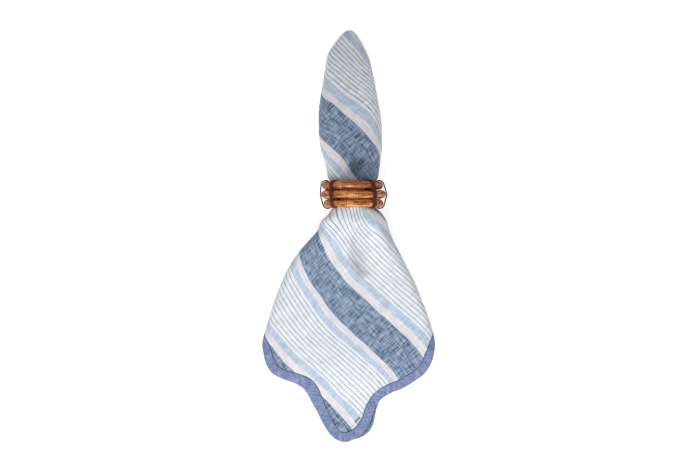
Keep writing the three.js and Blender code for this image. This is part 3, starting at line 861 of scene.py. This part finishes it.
points = np.concatenate(grids)
points[..., 2] = np.maximum(points[..., 2], THICKNESS / 2 + CLEAR_OF_TABLE)
# Painted shade for the deepest hollows, kept on the front layer only
hollow = np.zeros(points.shape[:2])
hollow[:len(grids[0])] = soft_lines(PAINTED_HOLLOW_SHADE, grids[0][..., 0], grids[0][..., 1])
measure = np.concatenate(measures)
columns, rows = points.shape[:2]
quads = ring_faces(columns, rows)
faces = quads[:, :-1].reshape(-1, 4).tolist()
faces += [(a, b, columns * rows) for a, b in quads[:, -1, :2].tolist()]
flat = np.vstack([measure.reshape(-1, 2), measure[:, -1].mean(0)[None]]) / CUT
cloth = make_mesh("napkin", np.vstack([points.reshape(-1, 3), TIP]), faces, linen, flat,
                  {"hollow": np.append(hollow.ravel(), 0.0)})
skin = cloth.modifiers.new("thickness", "SOLIDIFY")
skin.thickness = THICKNESS * MM
skin.offset = 0.0
as_plain_mesh(cloth)
belongs(cloth, "cloth", "cloth")
print(columns, "columns and", rows, "rows")

# %% [markdown]
# A bias strip is cut at 45 degrees so that it stretches round the scallops. It is folded over
# the cut edge and sewn through all layers near its inner edge, which pulls the strip down along
# the seam and leaves it puffed at the outside. It is one long strip, so one profile is carried
# along the hems of all four leaves, turning from leaf to leaf at the folds underneath.

# %% The bias binding
BINDING_WIDTH = 8.0
BINDING_PROFILE = np.array([
    # in from the edge, height over the middle of the cloth
    (0.00, 0.00), (0.10, 0.30), (0.45, 0.50), (1.30, 0.60), (2.80, 0.62), (4.40, 0.58),
    (5.80, 0.55), (6.60, 0.50), (7.05, 0.46), (7.50, 0.50), (7.90, 0.46), (8.00, 0.24),
    (8.00, -0.22), (7.90, -0.40), (7.05, -0.40), (4.40, -0.55), (1.30, -0.55), (0.10, -0.30),
])
BINDING_COLOUR = (0.122, 0.166, 0.320)
BINDING_FLECK, BINDING_SLUB = (0.40, 0.46, 0.66), (0.46, 0.52, 0.70)
CREVICE_SHADE = (0.020, 0.028, 0.060)
LOWEST, HEM_END = 0.03, 151.5
BINDING_STEPS, SEAM_STEPS = (1.9, 1.6, 3.0), (1.6, 1.2, 1.6)
SEAM_IN = 7.35
# The strip is a little wider in the bend beside the corner lobe
WIDER, WIDER_ACROSS, WIDER_BREADTH = 0.34, -36.0, 9.0


def on_hem(layer, places, distance, height):
    """Points beside a leaf's hem, some distance in from its edge and over its middle."""
    across = hem[places, 0]
    wider = 1 + WIDER * bell(across - WIDER_ACROSS, WIDER_BREADTH)
    inside = distance * wider - past_of(layer, across)
    flat_place = hem[places] + hem_inward[places] * inside[:, None]
    along = flat_place[:, 1]
    last = last_turn(along)
    turn = np.clip(turn_of(flat_place[:, 0], along), -last, last)
    turn = np.where(np.abs(across) > HEM_END, np.sign(across) * last, turn)
    depth = depth_of(layer, along) - height
    soft = softness(along, np.maximum(depth, 0))
    pull = gather(places) * min(1.0, distance / 5)
    pull = pull + curl_of(layer, across, max(distance - EDGE_IN_BINDING, 0.0))
    return place_on(along, turn, depth,
                    lambda x, y: soft * (folds(x, y) + pleats(x, y)) + pull)


def cotton_strip():
    tree = Tree("bias binding")
    place, s, t = cloth_measure(tree)
    fleck, slub, raised = woven(tree, s, t, place)
    colour = tree.blend(tree.times(fleck, 0.26), BINDING_COLOUR, BINDING_FLECK)
    colour = tree.blend(tree.times(slub, 0.18), colour, BINDING_SLUB)
    # Painted shade under the edge of the leaf above, where the lower leaves peek out
    colour = tree.blend(tree.times(tree.number("crevice"), 0.85), colour, CREVICE_SHADE)
    wave = tree.bump(tree.grain(place, (120, 120), 2.0), 0.0005, 0.5)
    return tree.surface(colour, 0.85, tree.bump(raised, 0.00005, 0.7, wave),
                        Sheen_Weight=0.1, Specular_IOR_Level=0.25)


def strip_rings(layer, places):
    return np.stack([on_hem(layer, places, d, h) for d, h in BINDING_PROFILE], 1)


def crevice_shade_of(layer, places):
    """The painted shade under the edge of the leaf above, at each point of the strip's rings."""
    if layer == 0:
        return np.zeros((len(places), len(BINDING_PROFILE)))
    past = past_of(layer, hem[places, 0])[:, None]
    return ease((BINDING_PROFILE[None, :, 0] - past + 1.7) / 1.2) * np.minimum(past / 0.8, 1)


binding_places = hem_places(*BINDING_STEPS)
turned_over = np.r_[0, np.arange(len(BINDING_PROFILE) - 1, 0, -1)]
strips = []
for layer, forwards in LAYER_ORDER:
    order = binding_places if forwards else binding_places[::-1]
    rings, shade = strip_rings(layer, order), crevice_shade_of(layer, order)
    if not forwards:
        rings, shade = rings[:, turned_over], shade[:, turned_over]
    strips.append((rings, shade))
binding_rings, binding_shade = [], []
for (rings, shade), (next_rings, _), hand in with_next(strips):
    between = np.abs(rings[-1] - next_rings[0])[:, 2].mean()
    turn = half_turn(rings[-1], next_rings[0], hand, min(between / 2, SEAM_GAP / 2 * 0.8))
    binding_rings += [rings, turn]
    binding_shade += [shade, np.zeros(turn.shape[:2])]
rings = np.concatenate(binding_rings)
rings[..., 2] = np.maximum(rings[..., 2], LOWEST)
count, round_count = rings.shape[:2]
quads = ring_faces(count, round_count)[..., [0, 3, 2, 1]]
travel = np.cumsum(np.linalg.norm(np.diff(rings[:, 2], axis=0, prepend=rings[:1, 2]), axis=1))
round_it = np.linspace(0, 2 * BINDING_WIDTH, round_count)
# The strip is cut on the bias, so its own threads lie at 45 degrees to it
strip_s = (travel[:, None] + round_it[None]) / math.sqrt(2)
strip_t = (travel[:, None] - round_it[None]) / math.sqrt(2)
flat = np.stack([strip_s, strip_t], -1).reshape(-1, 2) / CUT
binding = make_mesh("binding_strip", rings.reshape(-1, 3), quads.reshape(-1, 4).tolist(),
                    cotton_strip(), flat, {"crevice": np.concatenate(binding_shade).ravel()})
belongs(binding, "binding", "binding")
print("the strip is", round(travel[-1]), "mm long")

# %% [markdown]
# The seam is a row of short stitches in dark thread; the thread is thick and very dark, so
# it also paints the shade in the seam's groove. They repeat along a path, so Geometry
# Nodes lay them: the path is cut into equal steps, and one small bead of thread is set on each
# step and turned along it. The tree ends in real mesh, because a file for other programs keeps
# no instances.

# %% The stitches, laid by Geometry Nodes
def start_tree(name, lengths, material):
    """A tree that takes a mesh, some lengths and a material."""
    tree = bpy.data.node_groups.new(name, "GeometryNodeTree")
    sockets = [("Geometry", "INPUT", "Geometry"), ("Geometry", "OUTPUT", "Geometry")]
    sockets += [(label, "INPUT", "Float") for label in lengths]
    for label, direction, kind in sockets + [(material, "INPUT", "Material")]:
        tree.interface.new_socket(label, in_out=direction, socket_type="NodeSocket" + kind)
    graph, given = Graph(tree), tree.nodes.new("NodeGroupInput").outputs
    return tree, graph, given, graph.made("GeometryNodeMeshToCurve", Mesh=given["Geometry"])


def end_tree(tree, made, material):
    """Real mesh in its material, as the last two steps of each tree."""
    graph = Graph(tree)
    real = graph.made("GeometryNodeRealizeInstances", Geometry=made)
    graph.add("NodeGroupOutput", Geometry=graph.made(
        "GeometryNodeSetMaterial", Geometry=real, Material=material))
    return tree


def run_tree(piece, tree, values):
    modifier = piece.modifiers.new(tree.name, "NODES")
    modifier.node_group = tree
    for item in tree.interface.items_tree:
        if item.item_type == "SOCKET" and item.in_out == "INPUT" and item.name in values:
            modifier[item.identifier] = values[item.name]
    return as_plain_mesh(piece)


def stitching_tree():
    tree, graph, given, path = start_tree(
        "row of stitches", ("Step", "Stitch length", "Thread thickness"), "Thread")
    steps = graph.made("GeometryNodeResampleCurve", {"mode": "LENGTH"}, Curve=path,
                       Length=given["Step"])
    bead = graph.made("GeometryNodeMeshUVSphere", Segments=6, Rings=5, Radius=0.5)
    size = graph.made("ShaderNodeCombineXYZ", X=given["Thread thickness"],
                      Y=given["Thread thickness"], Z=given["Stitch length"])
    turned = graph.made("FunctionNodeAlignRotationToVector", {"axis": "Z"},
                        Vector=graph.made("GeometryNodeInputTangent"))
    lay = graph.made("GeometryNodeInstanceOnPoints", Points=steps, Instance=bead,
                     Rotation=turned, Scale=size)
    return end_tree(tree, lay, given["Thread"])


def sewing_thread():
    tree = Tree("sewing thread")
    twist = tree.grain(tree.here(), (2500, 2500, 2500), 1.0)
    # Very dark thread: partly the stitches' own colour, partly painted shade of the seam's groove
    colour = tree.blend(twist, (0.020, 0.028, 0.065), (0.050, 0.068, 0.130))
    return tree.surface(colour, 0.6, tree.bump(twist, 0.0001, 0.5))


# The stitches lie in the seam's groove, a little in from the strip's lowest line
SEAM_SIDE, SEAM_HEIGHT, SEAM_LOWEST = 0.50, 0.44, 0.36
# The thread is thick so that its dark line also paints the shade of the seam's groove
STITCH_STEP, STITCH_LENGTH, THREAD_THICKNESS = 2.5, 2.3, 0.74
seam_places = hem_places(*SEAM_STEPS)
seam_points, seam_edges = [], []
for layer in range(4):
    line = on_hem(layer, seam_places, SEAM_IN + SEAM_SIDE, SEAM_HEIGHT)
    line[:, 2] = np.maximum(line[:, 2], SEAM_LOWEST)
    first = len(seam_points)
    seam_points += line.tolist()
    seam_edges += [(first + k, first + k + 1) for k in range(len(line) - 1)]
stitches = make_line("seam_stitches", seam_points, seam_edges, HOME)
run_tree(stitches, stitching_tree(), {
    "Step": STITCH_STEP * MM, "Stitch length": STITCH_LENGTH * MM,
    "Thread thickness": THREAD_THICKNESS * MM, "Thread": sewing_thread()})
smooth(stitches.data)
belongs(stitches, "binding")

# %% [markdown]
# The ring is three lengths of thin bamboo, steamed and bent into hoops that lie side by side.
# Bamboo has joints: a low ridge, a groove and a slight swelling. Each cane is a tube whose
# radius is worked out as it goes round, so the joints come out of one rule. A cane keeps its
# grain along its length, so it carries a UV map, and a number on each point says how close the
# next joint is, for the colour.

# %% The three bent canes
RING_MIDDLE = np.array([4.0, 0.0, 27.3])
CANE = 3.4
CANE_TONES = {"cane_upper": 0.22, "cane_middle": 0.72, "cane_lower": 1.0}
CANES = {
    # place across and along, radius of the bend, sway, where the sway starts, joints in degrees
    "cane_upper": (3.4, 42.7, 22.4, 0.16, 60, (-67, -25, 65, 158, 250)),
    "cane_middle": (4.3, 35.05, 23.9, 0.14, 200, (-70, 0, 68, 162, 252)),
    "cane_lower": (4.3, 27.4, 21.8, 0.16, 310, (-68, -14, 29, 67, 200)),
}
ROUND_STEPS, TUBE_STEPS = 240, 22
DARK_STREAK, BROWN_CANE, GOLDEN_CANE = (0.230, 0.042, 0.010), (0.440, 0.110, 0.022), (1.0, 0.4, 0.1)
SCORCHED, DARK_FIBRE = (0.120, 0.022, 0.006), (0.080, 0.016, 0.005)
PALE_JOINT, DARK_GROOVE = (0.740, 0.340, 0.105), (0.035, 0.009, 0.004)


def cane_shape(across, along, bend, sway, sway_from, joints):
    """The cane's points ring by ring, and how far each ring is from the next joint."""
    angle = np.linspace(0, 360, ROUND_STEPS, endpoint=False)
    signed = np.array([min(((a - j + 180) % 360 - 180 for j in joints), key=abs) for a in angle])
    near = np.abs(signed)
    swell = 0.32 * bell(near, 4.6, 1.1)
    ridge = 0.26 * bell(signed - 1.4, 0.9) + 0.16 * bell(signed + 2.1, 0.9)
    groove = -0.30 * bell(signed + 0.3, 0.8)
    waist = -0.16 * (1 - bell(near, 20))
    radius = CANE + swell + ridge + groove + waist
    a = np.radians(angle)
    outward = np.stack([np.sin(a), np.zeros_like(a), np.cos(a)], 1)
    centre = RING_MIDDLE + outward * bend
    centre[:, 0] += across - RING_MIDDLE[0]
    centre[:, 1] += along + sway * np.sin(2 * a + math.radians(sway_from))
    v = np.linspace(0, 2 * np.pi, TUBE_STEPS, endpoint=False)
    oval = 1 + 0.012 * np.sin(3 * a + 1)
    spots = (centre[:, None] + outward[:, None] * (radius * oval)[:, None, None]
             * np.cos(v)[None, :, None])
    spots[..., 1] += radius[:, None] * np.sin(v)[None]
    return spots, near, angle, v


def without_jump(number, count):
    """Numbers round a face's corners, where the last face ends at the full turn, not at 0."""
    return np.where((number == 0) & (number[:, :1] == count - 1), count, number)


def gloss_on_top(tree, gloss):
    """The varnish reflects only where the cane faces up; lower down its reflection is taken away, a
    painted shade that keeps the sides dark.
    """
    return tree.between(tree.number("upward"), 0.25, 0.75, 0.0, gloss)


def bamboo():
    tree = Tree("bamboo cane")
    along_it, joint = tree.flat(), tree.number("joint")
    streak = tree.grain(along_it, (9, 60), 3.0, 0.65)
    fibre = tree.grain(along_it, (26, 260), 2.0, 0.6)
    cloud = tree.noise(tree.here(), 260, 3.0, 0.6)
    colour = tree.blend(tree.between(streak, 0.38, 0.62), DARK_STREAK,
                        tree.blend(tree.number("tone"), BROWN_CANE, GOLDEN_CANE))
    for share, shade in (
        (tree.between(cloud, 0.48, 0.62, 0.0, 0.62), SCORCHED),
        (tree.between(fibre, 0.50, 0.70, 0.0, 0.45), DARK_FIBRE),
        (tree.between(joint, 0.15, 0.75, 0.0, 0.50), PALE_JOINT),
        (tree.between(joint, 0.88, 0.98, 0.0, 0.88), DARK_GROOVE),
    ):
        colour = tree.blend(share, colour, shade)
    return tree.surface(colour, tree.between(fibre, 0.3, 0.8, 0.24, 0.46),
                        tree.bump(fibre, 0.00012, 0.6),
                        Specular_IOR_Level=gloss_on_top(tree, 0.55))


cane_finish = bamboo()
faces = ring_faces(ROUND_STEPS, TUBE_STEPS).reshape(-1, 4)
# The grain's own measure is put on corner by corner, so that it has no backward jump
grain_along = without_jump(faces // TUBE_STEPS, ROUND_STEPS) / ROUND_STEPS
grain_round = without_jump(faces % TUBE_STEPS, TUBE_STEPS) / TUBE_STEPS * 0.14
for name, sizes in CANES.items():
    spots, near, angle, v = cane_shape(*sizes)
    closeness = np.repeat(bell(near, 3.2), TUBE_STEPS)
    upward = np.cos(np.radians(angle))[:, None] * np.cos(v)[None]
    piece = make_mesh("bent_" + name, spots.reshape(-1, 3), faces.tolist(), cane_finish,
                      None, {"joint": closeness, "upward": upward.ravel(),
                             "tone": np.full(len(closeness), CANE_TONES[name])})
    layer = piece.data.uv_layers.new(name="flat")
    shift = 0.31 * list(CANES).index(name)
    layer.data.foreach_set("uv", np.stack([grain_along + shift, grain_round + shift], -1).ravel())
    belongs(piece, "cane", name)

# %% [markdown]
# Split cane, stained dark, is wound tight round all three hoops at six places. The band takes
# the shortest way round them, as a belt does, so its path touches the cane that reaches
# furthest in each direction. Geometry Nodes carry a flat strip along that path: each tie is a
# few turns side by side, made flat on the bench and then set in its place on the ring.

# %% The ties of split cane
TIE_TURNS, STEPS_A_TURN = 2, 40
# The strips lie this far off the canes and overlap by this share of their width
OFF_CANE, OVERLAP = 0.12, 1.04
STAIN, WORN_STAIN = ((0.044, 0.008, 0.004), (0.110, 0.022, 0.009)), (0.165, 0.042, 0.018)
TIES = {
    # place round the ring in degrees, width, thickness, lean, bow
    "tie_front_left": (-45, 5.2, 0.65, 0.0, 1.1),
    "tie_front_right": (43, 6.2, 0.65, -0.1, -1.1),
    "tie_side_left": (-90, 4.4, 1.1, 0.0, 0.0),
    "tie_side_right": (90, 4.4, 1.1, 0.0, 0.0),
    "tie_back_left": (-138, 4.4, 0.7, 0.0, 0.0),
    "tie_back_right": (138, 4.4, 0.7, 0.0, 0.0),
}


def winding_tree():
    tree, graph, given, path = start_tree("wound strip", ("Width", "Thickness"), "Cane")
    upright = graph.made("GeometryNodeSetCurveNormal", {"mode": "Z_UP"}, Curve=path)
    outline = graph.made("GeometryNodeCurvePrimitiveCircle", {"mode": "RADIUS"},
                         Resolution=10, Radius=0.5)
    size = graph.made("ShaderNodeCombineXYZ", X=given["Thickness"], Y=given["Width"], Z=1.0)
    shaped = graph.made("GeometryNodeTransform", Geometry=outline, Scale=size)
    strip = graph.made("GeometryNodeCurveToMesh", Fill_Caps=True, Curve=upright,
                       Profile_Curve=shaped)
    return end_tree(tree, strip, given["Cane"])


def split_cane():
    tree = Tree("split cane")
    fibre = tree.grain(tree.here(), (1500, 180, 1500), 2.0, 0.6)
    cloud = tree.noise(tree.here(), 260, 2.0)
    colour = tree.blend(tree.between(fibre, 0.35, 0.70), *STAIN)
    colour = tree.blend(tree.between(cloud, 0.52, 0.72, 0.0, 0.5), colour, WORN_STAIN)
    return tree.surface(colour, tree.between(fibre, 0.3, 0.8, 0.50, 0.75),
                        tree.bump(fibre, 0.0002, 0.7),
                        Specular_IOR_Level=gloss_on_top(tree, 0.20))


def belt(turn, offset, place):
    """The belt's place at a direction across the three canes: out from the ring, and along."""
    out, over = math.cos(turn), math.sin(turn)
    reached = [(y, r + (x - RING_MIDDLE[0]) * math.sin(place)) for x, y, r, *_ in CANES.values()]
    along, bend = max(reached, key=lambda cane: cane[1] * out + cane[0] * over)
    return bend + offset * out, along + offset * over


tie_finish = split_cane()
winding = winding_tree()
MIDDLE_ALONG = CANES["cane_middle"][1]
REACH_ALONG = CANES["cane_upper"][1] - MIDDLE_ALONG
for name, (degrees, width, thickness, lean, bow) in TIES.items():
    steps = STEPS_A_TURN * TIE_TURNS
    band = width / TIE_TURNS
    offset = CANE + OFF_CANE + thickness / 2
    line = []
    for k in range(steps + 1):
        turned = 2 * math.pi * k / STEPS_A_TURN + math.pi
        out, along = belt(turned, offset, math.radians(degrees))
        bowed = bow * max(0, 1 - ((along - MIDDLE_ALONG) / REACH_ALONG) ** 2)
        bowed *= max(0, math.cos(turned))
        line.append((out, along, mix(-1, 1, k / steps) * (width - band) / 2 + bowed))
    tie = make_line("wound_" + name, line, [(k, k + 1) for k in range(steps)])
    run_tree(tie, winding, {"Width": band * OVERLAP * MM, "Thickness": thickness * MM,
                            "Cane": tie_finish})
    spots = np.empty(len(tie.data.vertices) * 3)
    tie.data.vertices.foreach_get("co", spots)
    out, along, aside = spots.reshape(-1, 3).T / MM
    aside = aside + lean * (along - MIDDLE_ALONG)
    a = math.radians(degrees)
    spots = np.stack([RING_MIDDLE[0] + out * math.sin(a) + aside * math.cos(a), along,
                      RING_MIDDLE[2] + out * math.cos(a) - aside * math.sin(a)], 1) * MM + HOME
    tie.data.vertices.foreach_set("co", spots.ravel())
    smooth(tie.data)
    store(tie.data, "upward", np.clip(out * math.cos(a) / CANES["cane_upper"][2], 0, 1))
    tie.data.update()
    belongs(tie, "tie", name)

# %% [markdown]
# The napkin lies on a plain white table and is seen from straight above, from about two metres,
# so the lens is long and nothing looks bent. Two soft lights do the work of a studio: a broad
# one far above, and a small, closer one from the side of the bound corner, which puts the
# highlights on the near side of each cane and shades the hollows of the cloth.

# %% Table, lights and camera
CAMERA_HEIGHT = LENS_HEIGHT * MM
SEEN_WIDTH = 2 * LENS_OVER[0] * PIXEL * MM
SENSOR_WIDTH = 36
aim = np.array([*on_table(*LENS_OVER), 0]) * MM + HOME

table_top = Tree("white table")
speck = table_top.noise(table_top.here(), 40, 2.0)
table_top.surface(table_top.blend(speck, (0.30, 0.30, 0.30), (0.32, 0.32, 0.32)), 0.9,
                  Emission_Color=(1, 1, 1, 1), Emission_Strength=0.84)
REACH, JUST_BELOW = 2500, -0.02
corners = [(x * REACH, y * REACH, JUST_BELOW) for x, y in ((-1, -1), (1, -1), (1, 1), (-1, 1))]
floor = make_mesh("table_top", corners, [(0, 1, 2, 3)], table_top.material)


def soft_light(name, place, size, power):
    lamp = bpy.data.lights.new(name, "AREA")
    lamp.shape, lamp.size, lamp.energy = "DISK", size, power
    stand = show(bpy.data.objects.new(name, lamp))
    stand.location = place
    stand.rotation_mode = "QUATERNION"
    direction = Vector((0, 0, 0)) - stand.location
    stand.rotation_quaternion = direction.to_track_quat("-Z", "Y")


soft_light("key light", (-0.10, -0.62, 0.84), 0.36, 8.3)
soft_light("top light", (-0.5, 0.5, 3.0), 2.2, 7)

world = bpy.data.worlds.new("studio")
bpy.context.scene.world = world
world.use_nodes = True
sky = world.node_tree.nodes["Background"].inputs
sky["Color"].default_value = (1, 1, 1, 1)
sky["Strength"].default_value = 0.36
bpy.context.scene.view_settings.view_transform = "Standard"

lens = bpy.data.cameras.new("camera")
lens.sensor_width = SENSOR_WIDTH
lens.lens = SENSOR_WIDTH * CAMERA_HEIGHT / SEEN_WIDTH
lens.clip_end = 20
camera = show(bpy.data.objects.new("camera", lens))
camera.location = (aim[0], aim[1], CAMERA_HEIGHT)
bpy.context.scene.camera = camera
print("the lens is", round(lens.lens, 1), "mm")
